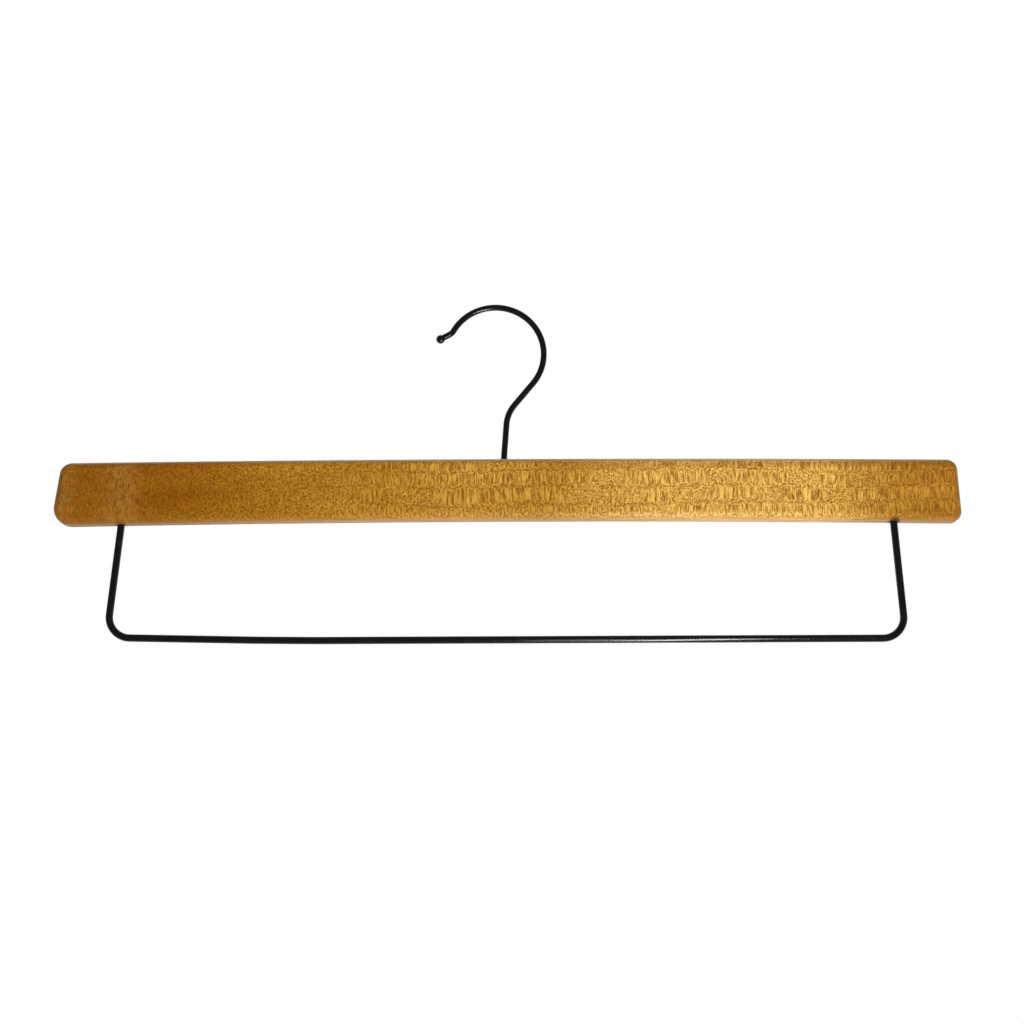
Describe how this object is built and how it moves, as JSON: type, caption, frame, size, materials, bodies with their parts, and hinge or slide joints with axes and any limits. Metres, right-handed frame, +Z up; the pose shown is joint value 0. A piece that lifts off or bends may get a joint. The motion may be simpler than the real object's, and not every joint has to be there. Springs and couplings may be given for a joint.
{
  "type": "trouser hanger",
  "caption": "Slim wooden trouser hanger with a swivelling black wire hook and a bent black wire bar below that carries folded trousers.",
  "frame": {"origin": "seat of the hook: the highest point inside the hook's crown, on the wire's inner side, which rests on a wardrobe rail", "axes": "+X along the wooden bar, away from the side that the hook's mouth opens to; +Y through the bar's thickness, from front to back; +Z up"},
  "size_m": [0.4016, 0.011, 0.1549],
  "materials": {
    "varnished_wood": "pale hardwood with ray flecks under a satin golden varnish",
    "black_hook_wire": "glossy black coated steel wire",
    "black_trouser_wire": "glossy black coated steel wire",
    "sleeve_steel": "blackened steel"
  },
  "bodies": {
    "hook": {"swivel_hook": "black_hook_wire"},
    "hanger": {"wood_bar": "varnished_wood", "hook_sleeve": "sleeve_steel", "trouser_bar": "black_trouser_wire"}
  },
  "joints": [
    {"name": "hook_swivel", "type": "hinge", "parent": "hook", "child": "hanger", "pos_m": [0.00373, 0, -0.078], "axis": [0, 0, 1], "continuous": true}
  ]
}
